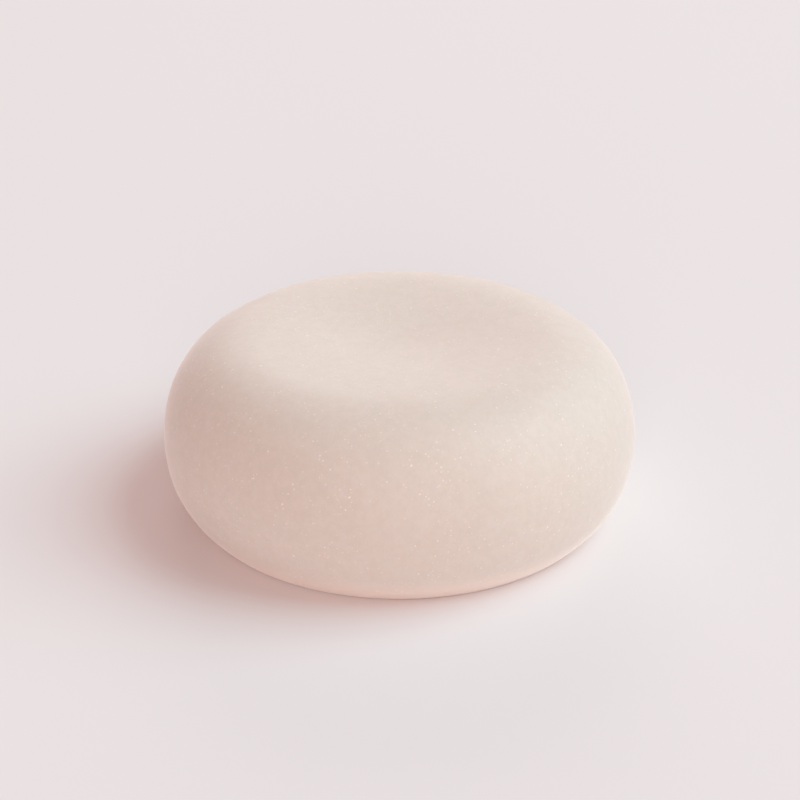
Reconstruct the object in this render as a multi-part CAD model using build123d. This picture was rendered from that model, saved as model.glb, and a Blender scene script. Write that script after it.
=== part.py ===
from build123d import *

import os
from math import radians, sqrt, tan

# Round shampoo bar, pressed in one piece: a plump puck with a softly dished top.
# The flank is widest a little below half height, rolls in over a rounded rim
# and falls without a crease into the dish. Below the waist it turns in only a
# little before a wide flat foot cuts it off.
# Frame: millimetres, +Z up, origin at the centre of the foot.

# Sizes in millimetres
body_diameter = 64.0  # across the waist, the widest ring
body_height = 24.1  # from the foot up to the rim's crest
waist_height = 10.2  # from the foot up to the widest ring
rim_diameter = 39.6  # across the rim's crest, the highest ring
dish_depth = 1.6  # from the crest down to the middle of the dish
foot_inset = 4.3  # from the waist in to the edge of the flat foot

# Degrees between the flank and the table where they meet
foot_slope = 45.0

# How full each curve is: the share of its span that the handle reaches along
dish_floor_share = 0.42  # of the way from the axis to the crest's own handle
rim_roll_share = 0.65  # of the way from the crest out to the waist
shoulder_share = 0.51  # of the way from the waist up to the crest
foot_roll_share = 0.32  # of the way from the foot's edge out to the waist


def matched_reach(neighbour_reach, own_offset, neighbour_offset):
    """Handle length that gives a curve its neighbour's curvature where they meet.

    A cubic's curvature at its end is two thirds of the far handle's offset from
    the end tangent, divided by the square of the near handle's length.
    """
    return neighbour_reach * sqrt(own_offset / neighbour_offset)


def section_outline():
    """Closed half section in X and Z: dish, shoulder, flank, foot and axis."""
    body_radius = body_diameter / 2
    rim_radius = rim_diameter / 2
    foot_radius = body_radius - foot_inset
    dish_height = body_height - dish_depth

    roll_reach = rim_roll_share * (body_radius - rim_radius)
    shoulder_reach = shoulder_share * (body_height - waist_height)
    foot_run = foot_roll_share * foot_inset
    foot_rise = foot_run * tan(radians(foot_slope))

    # Where two curves meet, the second handle is worked out from the first,
    # so that light runs over the crest and the waist without a break
    shoulder_drop = body_height - waist_height - shoulder_reach
    crest_reach = matched_reach(roll_reach, dish_depth, shoulder_drop)
    roll_gap = body_radius - rim_radius - roll_reach
    foot_gap = foot_inset - foot_run
    flank_reach = matched_reach(shoulder_reach, foot_gap, roll_gap)
    dish_reach = dish_floor_share * (rim_radius - crest_reach)

    middle = (0, dish_height)
    crest = (rim_radius, body_height)
    waist = (body_radius, waist_height)
    foot_edge = (foot_radius, 0)
    dish = Bezier(
        middle,
        (dish_reach, dish_height),
        (rim_radius - crest_reach, body_height),
        crest,
    )
    shoulder = Bezier(
        crest,
        (rim_radius + roll_reach, body_height),
        (body_radius, waist_height + shoulder_reach),
        waist,
    )
    flank = Bezier(
        waist,
        (body_radius, waist_height - flank_reach),
        (foot_radius + foot_run, foot_rise),
        foot_edge,
    )
    foot = Line(foot_edge, (0, 0))
    axis = Line((0, 0), middle)
    return Wire([dish, shoulder, flank, foot, axis])


def build_bar():
    """The bar as one solid, its half section turned once round the axis."""
    section = make_face(Plane.XZ * section_outline())
    return revolve(section, Axis.Z)


os.makedirs("parts", exist_ok=True)
export_step(build_bar(), "parts/bar.step")
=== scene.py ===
"""Looks of a round shampoo bar with a dished top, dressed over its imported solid."""

import logging
import math
from dataclasses import dataclass, field
from enum import Enum
from typing import Any

import bpy
import numpy as np
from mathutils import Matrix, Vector


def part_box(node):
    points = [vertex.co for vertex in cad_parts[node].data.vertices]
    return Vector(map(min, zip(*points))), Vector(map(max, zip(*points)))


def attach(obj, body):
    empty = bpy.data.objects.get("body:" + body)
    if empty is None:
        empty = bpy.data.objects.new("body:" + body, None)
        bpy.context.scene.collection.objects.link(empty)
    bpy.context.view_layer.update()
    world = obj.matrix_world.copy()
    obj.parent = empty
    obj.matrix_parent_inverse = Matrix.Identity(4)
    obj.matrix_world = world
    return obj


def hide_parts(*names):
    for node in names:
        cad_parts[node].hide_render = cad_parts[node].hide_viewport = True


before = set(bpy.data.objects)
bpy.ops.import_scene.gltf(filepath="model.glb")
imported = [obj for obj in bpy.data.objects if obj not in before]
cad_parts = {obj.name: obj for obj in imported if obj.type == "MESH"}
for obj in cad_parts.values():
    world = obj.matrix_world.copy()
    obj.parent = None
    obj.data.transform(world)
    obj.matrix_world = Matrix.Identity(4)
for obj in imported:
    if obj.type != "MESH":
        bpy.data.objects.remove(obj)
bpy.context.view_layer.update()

# One millimetre in metres, which every length here is in
MM = 0.001
# Most of a noise's values lie between these two
NOISE_LOW, NOISE_HIGH = 0.3, 0.7
log = logging.getLogger("shampoo_bar")

Array = np.ndarray
Colour = tuple[float, float, float]
Socket = bpy.types.NodeSocket


def cubic(points: Array, steps: int) -> Array:
    """Points along one cubic curve, by the Bernstein weights of its four handles.

    Args:
        points: the start, two handles and the end, as rows.
        steps: how many points to give, both ends included.

    Returns:
        One row for each point.
    """
    t = np.linspace(0.0, 1.0, steps)[:, None]
    weights = np.hstack([(1 - t) ** 3, 3 * t * (1 - t) ** 2, 3 * t**2 * (1 - t), t**3])
    return weights @ np.asarray(points, float)


def evenly_spaced(line: Array, steps: int) -> Array:
    """The same line with points a like distance apart, read off its running length.

    Args:
        line: points in order, as rows.
        steps: how many points to give.

    Returns:
        One row for each new point, from the first to the last.
    """
    runs = np.linalg.norm(np.diff(line, axis=0), axis=1)
    length = np.concatenate([[0.0], np.cumsum(runs)])
    wanted = np.linspace(0.0, length[-1], steps)
    return np.column_stack([np.interp(wanted, length, column) for column in line.T])


def turned(section: Array, columns: int) -> Array:
    """A surface of revolution: (r cos a, r sin a, z) over the section and the turn.

    Args:
        section: radius and height of each row.
        columns: how many steps the turn has.

    Returns:
        Array of rows by columns by three.
    """
    angle = np.linspace(0.0, 2 * math.pi, columns, endpoint=False)
    radius, height = section[:, :1], section[:, 1:]
    across = np.ones_like(angle)
    return np.stack([radius * np.cos(angle), radius * np.sin(angle), height * across], -1)


def closed_mesh(name: str, top: Array, rings: Array, bottom: Array) -> bpy.types.Object:
    """A closed skin of rings, with a fan of triangles onto a point at each end.

    Args:
        name: the object's name.
        top: the point that closes the first ring.
        rings: array of rows by columns by three, from top to bottom.
        bottom: the point that closes the last ring.

    Returns:
        The new object, smooth shaded, with its faces outwards.
    """
    rows, columns = rings.shape[:2]
    points = np.vstack([top, rings.reshape(-1, 3), bottom])
    index = 1 + np.arange(rows * columns).reshape(rows, columns)
    ahead = np.roll(index, -1, axis=1)
    quads = np.stack([index[:-1], index[1:], ahead[1:], ahead[:-1]], -1).reshape(-1, 4)
    first = np.zeros(columns, int)
    last = np.full(columns, len(points) - 1)
    upper = np.column_stack([first, index[0], ahead[0]])
    lower = np.column_stack([last, ahead[-1], index[-1]])
    faces = upper.tolist() + quads.tolist() + lower.tolist()
    mesh = bpy.data.meshes.new(name)
    mesh.from_pydata(points, [], faces)
    mesh.shade_smooth()
    mesh.update()
    piece = bpy.data.objects.new(name, mesh)
    bpy.context.scene.collection.objects.link(piece)
    return piece


class NodeSheet:
    """Adds nodes to one node tree and wires them together."""

    def __init__(self, tree: bpy.types.NodeTree) -> None:
        """Starts on an empty tree.

        Args:
            tree: a material's, a world's or a group's node tree.
        """
        self.tree = tree
        self.tree.nodes.clear()

    def add(self, kind: str, inputs: dict[str | int, Any] | None = None, **settings: Any) -> bpy.types.Node:
        """One node, with its settings and inputs.

        Args:
            kind: the node's type name, without the leading ShaderNode.
            inputs: socket name or number to a value or to the socket that feeds it.
            settings: the node's own properties.

        Returns:
            The node.
        """
        prefix = "" if kind.startswith("Node") else "ShaderNode"
        node = self.tree.nodes.new(prefix + kind)
        for key, value in settings.items():
            setattr(node, key, value)
        for key, value in (inputs or {}).items():
            self.feed(node.inputs[key], value)
        return node

    def feed(self, target: Socket, value: Any) -> None:
        """Links a socket to its source, or sets its plain value.

        Args:
            target: the input socket.
            value: an output socket, or a value.
        """
        if isinstance(value, Socket):
            self.tree.links.new(value, target)
        else:
            target.default_value = value

    def sum(self, operation: str, *values: Any) -> Socket:
        """The result of one Math node.

        Args:
            operation: such as MULTIPLY or GREATER_THAN.
            values: numbers or sockets, in order.

        Returns:
            The value socket.
        """
        return self.add("Math", dict(enumerate(values)), operation=operation).outputs[0]

    def span(self, value: Any, low: Any, high: Any, to_low: float, to_high: float) -> Socket:
        """A value carried from one span to another along a smooth step, held at its ends.

        Args:
            value: the number or socket to carry.
            low: where the first span starts.
            high: where the first span ends.
            to_low: where the second span starts.
            to_high: where the second span ends.

        Returns:
            The value socket.
        """
        inputs = {0: value, 1: low, 2: high, 3: to_low, 4: to_high}
        return self.add("MapRange", inputs, interpolation_type="SMOOTHSTEP").outputs[0]

    def noise(self, where: Socket, size: float, detail: float = 2.0, fineness: float = 0.5) -> Socket:
        """Soft noise around one half, whose features are about a given size.

        Args:
            where: position in metres.
            size: size of a feature in metres.
            detail: how many finer layers it has.
            fineness: how strong each layer is beside the coarser one before it.

        Returns:
            The value socket.
        """
        inputs = {"Vector": where, "Scale": 1 / size, "Detail": detail, "Roughness": fineness}
        return self.add("TexNoise", inputs).outputs[0]

    def blend(self, share: Any, first: Any, second: Any, mode: str = "MIX") -> Socket:
        """Two colours mixed.

        Args:
            share: how much of the second colour there is.
            first: colour or socket.
            second: colour or socket.
            mode: the way they mix.

        Returns:
            The colour socket.
        """
        node = self.add("Mix", data_type="RGBA", blend_type=mode)
        self.feed(node.inputs[0], share)
        self.feed(node.inputs[6], first)
        self.feed(node.inputs[7], second)
        return node.outputs[2]


class Fleck(Enum):
    """The kinds of pale fleck in the soap: cell, radius, stretch, share present and turn."""

    GRAIN = (0.95, 0.18, 1.5, 0.60, (40, 0, 70))
    DUST = (0.48, 0.15, 1.0, 0.65, (31, 17, 58))
    FIBRE = (1.20, 0.14, 4.0, 0.60, (64, 25, 10))
    THREAD = (1.20, 0.14, 4.0, 0.60, (15, 80, 125))

    def __init__(
        self, cell: float, radius: float, stretch: float, present: float, turn: tuple[int, int, int]
    ) -> None:
        """Keeps the kind's sizes.

        Args:
            cell: how far apart flecks lie, in millimetres.
            radius: the largest fleck's radius, in millimetres.
            stretch: how many times longer than wide it is.
            present: the share of places that hold one.
            turn: which way it lies, in degrees about X, Y and Z.
        """
        self.cell = cell
        self.radius = radius
        self.stretch = stretch
        self.present = present
        self.turn = turn


def fleck_group(smallest: float, core_share: float) -> bpy.types.ShaderNodeTree:
    """Node group that scatters flecks: balls of varied radius round scattered points.

    Args:
        smallest: the smallest fleck's radius as a share of the largest one's.
        core_share: how much of its radius a fleck is full strength over.

    Returns:
        The group, with Where, Cell, Radius and Present in, Mask and Tone out.
    """
    group = bpy.data.node_groups.new("soap_flecks", "ShaderNodeTree")
    sheet = NodeSheet(group)
    group.interface.new_socket("Where", in_out="INPUT", socket_type="NodeSocketVector")
    for name in ("Cell", "Radius", "Present"):
        group.interface.new_socket(name, in_out="INPUT", socket_type="NodeSocketFloat")
    for name in ("Mask", "Tone"):
        group.interface.new_socket(name, in_out="OUTPUT", socket_type="NodeSocketFloat")
    given = sheet.add("NodeGroupInput").outputs
    result = sheet.add("NodeGroupOutput")
    per_metre = sheet.sum("DIVIDE", 1.0, given["Cell"])
    cells = sheet.add("TexVoronoi", {"Vector": given["Where"], "Scale": per_metre, "Randomness": 1.0})
    chance = sheet.add("SeparateColor", {0: cells.outputs["Color"]}).outputs
    radius = sheet.sum("DIVIDE", given["Radius"], given["Cell"])
    size = sheet.sum("MULTIPLY", radius, sheet.span(chance[0], 0.0, 1.0, smallest, 1.0))
    core = sheet.sum("MULTIPLY", size, core_share)
    ball = sheet.span(cells.outputs["Distance"], core, size, 1.0, 0.0)
    here = sheet.sum("LESS_THAN", chance[1], given["Present"])
    sheet.feed(result.inputs["Mask"], sheet.sum("MULTIPLY", ball, here))
    sheet.feed(result.inputs["Tone"], chance[2])
    return group


@dataclass(frozen=True)
class SoapFinish:
    """Matte pressed soap: warm beige, with soft light inside it and a powdery sheen.

    Its colour has a faint mottle, fine pale flecks and a paler band above the foot, which is painted light
    that lifts the shade near the foot's edge.
    """

    base: Colour = (0.755, 0.653, 0.578)
    cloud: Colour = (0.720, 0.616, 0.540)
    cloud_size: float = 9.0 * MM
    cloud_start: float = 0.35
    cloud_share: float = 0.15
    mottle_size: float = 1.3 * MM
    mottle_layers: float = 3.0
    mottle_fineness: float = 0.85

    # Painted light: a paler, pinker colour for the lowest few millimetres, which lifts the shade near the
    # foot
    painted_foot_light: Colour = (0.925, 0.750, 0.660)
    painted_light_height: float = 5.0 * MM

    fleck: Colour = (1.0, 0.91, 0.84)
    fleck_share: float = 0.62
    faintest_fleck: float = 0.15
    smallest_fleck: float = 0.35
    fleck_core: float = 0.45
    fleck_bend: float = 0.16 * MM
    bend_size: float = 0.35 * MM
    crowd_size: float = 6.0 * MM
    sparse: float = 0.15
    crowded: float = 1.6

    roughness: float = 0.58
    roughness_range: float = 0.05
    worn_size: float = 3.0 * MM
    fleck_gloss: float = 0.08
    ior: float = 1.46
    grain_size: float = 0.2 * MM
    relief_depth: float = 0.015 * MM
    fleck_rise: float = 0.6

    scatter: Colour = (1.0, 0.8, 0.7)
    scatter_depth: float = 1.0 * MM
    scatter_weight: float = 1.0
    sheen: float = 0.6
    sheen_roughness: float = 0.35
    sheen_tint: Colour = (1.0, 0.9, 0.85)

    def material(self) -> bpy.types.Material:
        """The finish as a material.

        Returns:
            The material, with colour, roughness and relief that change over the surface.
        """
        material = bpy.data.materials.new("pressed_soap")
        material.use_nodes = True
        sheet = NodeSheet(material.node_tree)
        where = sheet.add("TexCoord").outputs["Object"]
        flecks = self.flecks(sheet, where)
        shader = sheet.add("BsdfPrincipled", {
            "Base Color": self.colour(sheet, where, flecks),
            "Roughness": self.gloss(sheet, where, flecks),
            "Normal": self.relief(sheet, where, flecks),
            "IOR": self.ior,
            "Subsurface Weight": self.scatter_weight,
            "Subsurface Radius": self.scatter,
            "Subsurface Scale": self.scatter_depth,
            "Sheen Weight": self.sheen,
            "Sheen Roughness": self.sheen_roughness,
            "Sheen Tint": (*self.sheen_tint, 1.0),
        })
        sheet.add("OutputMaterial", {"Surface": shader.outputs[0]})
        return material

    def flecks(self, sheet: NodeSheet, where: Socket) -> Socket:
        """Mask of every kind of fleck together, the strongest one winning.

        A fine noise bends the flecks, and a coarse one gathers them in crowds.

        Args:
            sheet: the material's nodes.
            where: position in metres.

        Returns:
            The mask, from 0 to 1.
        """
        group = fleck_group(self.smallest_fleck, self.fleck_core)
        jitter = sheet.add("TexNoise", {"Vector": where, "Scale": 1 / self.bend_size, "Detail": 1.0})
        grey = (0.5, 0.5, 0.5)
        shaken = sheet.add("VectorMath", {0: jitter.outputs["Color"], 1: grey}, operation="SUBTRACT")
        nudge = sheet.add("VectorMath", {0: shaken.outputs[0], "Scale": self.fleck_bend}, operation="SCALE")
        warped = sheet.add("VectorMath", {0: where, 1: nudge.outputs[0]}).outputs[0]
        gathered = sheet.noise(where, self.crowd_size)
        crowd = sheet.span(gathered, NOISE_LOW, NOISE_HIGH, self.sparse, self.crowded)
        total: Any = 0.0
        for kind in Fleck:
            turn = tuple(math.radians(angle) for angle in kind.turn)
            inputs = {"Vector": warped, "Rotation": turn, "Scale": (1.0, 1.0, kind.stretch)}
            placed = sheet.add("Mapping", inputs, vector_type="TEXTURE")
            node = sheet.add("Group", node_tree=group)
            sheet.feed(node.inputs["Where"], placed.outputs[0])
            sheet.feed(node.inputs["Cell"], kind.cell * MM)
            sheet.feed(node.inputs["Radius"], kind.radius * MM)
            sheet.feed(node.inputs["Present"], sheet.sum("MULTIPLY", crowd, kind.present))
            strength = sheet.span(node.outputs["Tone"], 0.0, 1.0, self.faintest_fleck, 1.0)
            total = sheet.sum("MAXIMUM", total, sheet.sum("MULTIPLY", node.outputs["Mask"], strength))
        return total

    def colour(self, sheet: NodeSheet, where: Socket, flecks: Socket) -> Socket:
        """Beige that drifts towards a deeper tone in clouds and in a fine mottle.

        Towards the foot it turns paler over a few millimetres, painted light that lifts the shade near the
        foot's edge, and the flecks lie over it all.

        Args:
            sheet: the material's nodes.
            where: position in metres.
            flecks: the mask of the flecks.

        Returns:
            The colour socket.
        """
        drift = sheet.noise(where, self.cloud_size)
        clouds = sheet.span(drift, self.cloud_start, NOISE_HIGH, 0.0, self.cloud_share)
        drifted = sheet.blend(clouds, (*self.base, 1.0), (*self.cloud, 1.0))
        fine = sheet.noise(where, self.mottle_size, self.mottle_layers, self.mottle_fineness)
        mottle = sheet.span(fine, NOISE_LOW, NOISE_HIGH, 0.0, 1.0)
        mottled = sheet.blend(mottle, drifted, (*self.cloud, 1.0))
        height = sheet.add("SeparateXYZ", {0: where}).outputs[2]
        # Painted light: the colour turns paler towards the foot, fading in over the lowest few millimetres
        low = sheet.span(height, 0.0, self.painted_light_height, 1.0, 0.0)
        foot_lightened = sheet.blend(low, mottled, (*self.painted_foot_light, 1.0))
        return sheet.blend(sheet.sum("MULTIPLY", flecks, self.fleck_share), foot_lightened, (*self.fleck, 1.0))

    def gloss(self, sheet: NodeSheet, where: Socket, flecks: Socket) -> Socket:
        """Roughness: a waxy matte that is a little smoother on the flecks.

        Args:
            sheet: the material's nodes.
            where: position in metres.
            flecks: the mask of the flecks.

        Returns:
            The roughness socket.
        """
        smooth, rough = self.roughness - self.roughness_range, self.roughness + self.roughness_range
        worn = sheet.span(sheet.noise(where, self.worn_size), NOISE_LOW, NOISE_HIGH, smooth, rough)
        return sheet.sum("SUBTRACT", worn, sheet.sum("MULTIPLY", flecks, self.fleck_gloss))

    def relief(self, sheet: NodeSheet, where: Socket, flecks: Socket) -> Socket:
        """Fine grain and the flecks' slight rise, as a normal.

        Args:
            sheet: the material's nodes.
            where: position in metres.
            flecks: the mask of the flecks.

        Returns:
            The normal socket.
        """
        grain = sheet.noise(where, self.grain_size)
        height = sheet.sum("ADD", grain, sheet.sum("MULTIPLY", flecks, self.fleck_rise))
        inputs = {"Height": height, "Distance": self.relief_depth, "Strength": 1.0}
        return sheet.add("Bump", inputs).outputs[0]


@dataclass
class ShampooBar:
    """The bar: its sizes, its skin and its finish.

    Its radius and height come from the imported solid's box. The shares are the
    section's sizes in part.py, each as a share of the length that it lies along.
    """

    body_radius: float = field(default_factory=lambda: (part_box("bar")[1].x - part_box("bar")[0].x) / 2)
    height: float = field(default_factory=lambda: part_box("bar")[1].z)
    rim_share: float = 0.6188
    dish_share: float = 0.0664
    waist_share: float = 0.4232
    foot_share: float = 0.8656
    foot_slope: float = 45.0
    dish_floor_share: float = 0.42
    rim_roll_share: float = 0.65
    shoulder_share: float = 0.51
    foot_roll_share: float = 0.32
    curve_steps: int = 400
    rows: int = 300
    columns: int = 320
    swell: float = 0.06 * MM
    swell_start_share: float = 0.25
    waves: int = 48
    shortest_wave: float = 6.0 * MM
    longest_wave: float = 30.0 * MM
    seed: int = 11

    def section(self) -> Array:
        """Half section from the dish's middle to the foot's middle, in three cubic curves.

        Where two curves meet, the second handle is the first times the root of the
        two far offsets' ratio, which makes the curvature run on without a break.

        Returns:
            Radius and height of each row.
        """
        body, height = self.body_radius, self.height
        rim, foot, waist = self.rim_share * body, self.foot_share * body, self.waist_share * height
        dish_depth = self.dish_share * height
        floor = height - dish_depth
        roll = self.rim_roll_share * (body - rim)
        shoulder = self.shoulder_share * (height - waist)
        foot_run = self.foot_roll_share * (body - foot)
        foot_rise = foot_run * math.tan(math.radians(self.foot_slope))
        crest = roll * math.sqrt(dish_depth / (height - waist - shoulder))
        flank = shoulder * math.sqrt((body - foot - foot_run) / (body - rim - roll))
        dish = self.dish_floor_share * (rim - crest)
        curves = [
            [(0, floor), (dish, floor), (rim - crest, height), (rim, height)],
            [(rim, height), (rim + roll, height), (body, waist + shoulder), (body, waist)],
            [(body, waist), (body, waist - flank), (foot + foot_run, foot_rise), (foot, 0)],
        ]
        parts = [cubic(points, self.curve_steps)[:-1] for points in curves]
        line = np.vstack([*parts, [(foot, 0), (0, 0)]])
        return evenly_spaced(line, self.rows + 2)

    def uneven(self, points: Array) -> Array:
        """Slow swell of a hand-finished face: a sum of cosine waves that run all ways.

        Args:
            points: array of rows by columns by three.

        Returns:
            Height of the swell at each point, about within plus or minus one.
        """
        rng = np.random.default_rng(self.seed)
        ways = rng.normal(size=(3, self.waves))
        ways /= np.linalg.norm(ways, axis=0)
        lengths = rng.uniform(self.shortest_wave, self.longest_wave, self.waves)
        phases = rng.uniform(0.0, 2 * math.pi, self.waves)
        strengths = lengths / self.longest_wave
        angles = points @ (ways * (2 * math.pi / lengths)) + phases
        return (np.cos(angles) * strengths).sum(-1) / np.sqrt((strengths**2).sum())

    def skin(self) -> tuple[Array, Array, Array]:
        """The section turned once round, pushed in and out by the swell.

        The swell grows from nothing at the foot, so the bar still stands flat.

        Returns:
            The top point, the rings and the bottom point.
        """
        section = self.section()
        rings = turned(section[1:-1], self.columns)
        slope = np.gradient(section, axis=0)[1:-1]
        outward = turned(np.column_stack([-slope[:, 1], slope[:, 0]]), self.columns)
        outward /= np.linalg.norm(outward, axis=-1, keepdims=True)
        lift = np.clip(rings[..., 2:] / (self.swell_start_share * self.height), 0.0, 1.0)
        rings = rings + outward * lift * self.swell * self.uneven(rings)[..., None]
        middle = section[:1, 1] + self.swell * self.uneven(np.array([[[0.0, 0.0, section[0, 1]]]]))[0]
        top = np.array([[0.0, 0.0, middle[0]]])
        return top, rings, np.zeros((1, 3))

    def build(self) -> bpy.types.Object:
        """Makes the skin, gives it its finish and puts it in the solid's place.

        Returns:
            The piece.
        """
        piece = closed_mesh("bar_skin", *self.skin())
        piece.data.materials.append(SoapFinish().material())
        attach(piece, "root")
        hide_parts("bar")
        return piece


@dataclass(frozen=True)
class FloorFinish:
    """Smooth matt board, pale with a touch of pink."""

    base: Colour = (0.865, 0.810, 0.805)
    roughness: float = 0.9
    gloss: float = 0.2
    tooth_size: float = 1.2 * MM
    tooth_depth: float = 0.004 * MM

    def material(self) -> bpy.types.Material:
        """The finish as a material.

        Returns:
            The material.
        """
        material = bpy.data.materials.new("pale_board")
        material.use_nodes = True
        sheet = NodeSheet(material.node_tree)
        where = sheet.add("TexCoord").outputs["Object"]
        tooth = sheet.noise(where, self.tooth_size)
        bump = sheet.add("Bump", {"Height": tooth, "Distance": self.tooth_depth, "Strength": 1.0})
        shader = sheet.add("BsdfPrincipled", {
            "Base Color": (*self.base, 1.0),
            "Roughness": self.roughness,
            "Specular IOR Level": self.gloss,
            "Normal": bump.outputs[0],
        })
        sheet.add("OutputMaterial", {"Surface": shader.outputs[0]})
        return material


@dataclass(frozen=True)
class SoftLamp:
    """A square soft lamp that faces the bar.

    Its level is how bright it makes a white sheet that faces it: power is the level
    times pi squared times the distance squared. Its angles are in degrees, the
    azimuth from +X towards +Y and the elevation up from the floor.
    """

    name: str
    azimuth: float
    elevation: float
    distance: float
    side: float
    level: float
    colour: Colour

    def build(self, target: Vector) -> bpy.types.Object:
        """Places the lamp on its direction from the bar.

        Args:
            target: the point that it faces.

        Returns:
            The lamp.
        """
        light = bpy.data.lights.new(self.name, "AREA")
        light.size = self.side
        light.color = self.colour
        light.energy = self.level * (math.pi * self.distance) ** 2
        turn, rise = math.radians(self.azimuth), math.radians(self.elevation)
        away = Vector((math.cos(turn) * math.cos(rise), math.sin(turn) * math.cos(rise), math.sin(rise)))
        lamp = bpy.data.objects.new(self.name, light)
        lamp.location = target + away * self.distance
        lamp.rotation_euler = away.to_track_quat("Z", "Y").to_euler()
        bpy.context.scene.collection.objects.link(lamp)
        return lamp


@dataclass
class Studio:
    """Pale floor, soft lamps and the air's even light."""

    floor_radius: float = 1.2
    floor_inner_radii: tuple[float, float] = (0.02, 0.2)
    floor_thickness: float = 0.01
    floor_columns: int = 96
    floor_gap: float = 0.02 * MM
    floor_finish: FloorFinish = FloorFinish()
    air: Colour = (0.499, 0.345, 0.315)
    backdrop: Colour = (0.807, 0.753, 0.753)
    lamps: tuple[SoftLamp, ...] = (
        SoftLamp("key", 4.0, 46.0, 6.0, 5.2, 0.843, (0.623, 0.918, 1.0)),
        SoftLamp("front", 270.0, 16.0, 3.0, 1.6, 0.357, (0.933, 0.952, 1.0)),
        SoftLamp("rim", 90.0, 20.0, 3.0, 1.6, 0.185, (1.0, 0.914, 0.892)),
    )

    def floor(self) -> bpy.types.Object:
        """A thin round board just under the bar's foot: a section turned once round.

        The hair of a gap lets light that leaves the foot meet the board's face.

        Returns:
            The floor.
        """
        edge, (hub, middle) = self.floor_radius, self.floor_inner_radii
        face, under = -self.floor_gap, -self.floor_thickness
        section = np.array([(hub, face), (middle, face), (edge, face), (edge, under), (hub, under)])
        top, bottom = np.array([[0.0, 0.0, face]]), np.array([[0.0, 0.0, under]])
        board = closed_mesh("floor", top, turned(section, self.floor_columns), bottom)
        board.data.shade_flat()
        board.data.materials.append(self.floor_finish.material())
        return board

    def world(self) -> None:
        """Even light from all round, and the plain backdrop that the camera and gloss see."""
        world = bpy.data.worlds.new("studio_air")
        world.use_nodes = True
        bpy.context.scene.world = world
        sheet = NodeSheet(world.node_tree)
        air = sheet.add("Background", {"Color": (*self.air, 1.0), "Strength": 1.0})
        seen = sheet.add("Background", {"Color": (*self.backdrop, 1.0), "Strength": 1.0})
        path = sheet.add("LightPath").outputs
        direct = sheet.sum("MAXIMUM", path["Is Camera Ray"], path["Is Glossy Ray"])
        direct = sheet.sum("MAXIMUM", direct, path["Is Transmission Ray"])
        mixed = sheet.add("MixShader", {0: direct, 1: air.outputs[0], 2: seen.outputs[0]})
        sheet.add("OutputWorld", {"Surface": mixed.outputs[0]})

    def build(self, target: Vector) -> None:
        """Sets up the whole studio round the bar.

        Args:
            target: the point that the lamps face.
        """
        self.floor()
        self.world()
        for lamp in self.lamps:
            lamp.build(target)


@dataclass(frozen=True)
class PhotoCamera:
    """Where the photograph was taken from, worked out from the bar's outline in it.

    Sizes that end in px are the photograph's pixels. The elevation is in degrees and
    the sensor in millimetres.
    """

    image_side_px: float = 800.0
    focal_px: float = 1889.0
    radius_px: float = 234.8
    middle_px: tuple[float, float] = (398.8, 414.4)
    elevation: float = 26.75
    sensor: float = 36.0
    nearest_share: float = 0.02
    farthest_share: float = 100.0

    def build(self, bar: ShampooBar) -> bpy.types.Object:
        """The camera, as far off as makes the bar's radius its size in the photograph.

        Args:
            bar: the bar that it looks at.

        Returns:
            The camera.
        """
        data = bpy.data.cameras.new("photo_camera")
        data.sensor_width = self.sensor
        data.lens = self.sensor * self.focal_px / self.image_side_px
        distance = bar.body_radius * self.focal_px / self.radius_px
        data.clip_start, data.clip_end = distance * self.nearest_share, distance * self.farthest_share
        rise = math.radians(self.elevation)
        back = Vector((0.0, -math.cos(rise), math.sin(rise)))
        right = Vector((1.0, 0.0, 0.0))
        up = back.cross(right)
        centre_px = (self.image_side_px - 1) / 2
        metres_per_px = bar.body_radius / self.radius_px
        aside = (centre_px - self.middle_px[0]) * metres_per_px
        above = (self.middle_px[1] - centre_px) * metres_per_px
        middle = Vector((0.0, 0.0, bar.height / 2))
        camera = bpy.data.objects.new("photo_camera", data)
        camera.location = middle + back * distance
        aim = middle + right * aside + up * above
        camera.rotation_euler = (camera.location - aim).to_track_quat("Z", "Y").to_euler()
        bpy.context.scene.collection.objects.link(camera)
        bpy.context.scene.camera = camera
        return camera


def main() -> None:
    """Builds the bar, the studio and the camera, and reports each piece."""
    logging.basicConfig(level=logging.INFO, format="%(message)s")
    bpy.context.scene.view_settings.view_transform = "Standard"
    bar = ShampooBar()
    piece = bar.build()
    log.info("%s: %d faces", piece.name, len(piece.data.polygons))
    Studio().build(Vector((0.0, 0.0, bar.height / 2)))
    log.info("studio: floor, air and soft lamps")
    camera = PhotoCamera().build(bar)
    log.info("%s: %.1f mm lens", camera.name, camera.data.lens)


if __name__ == "__main__":
    main()
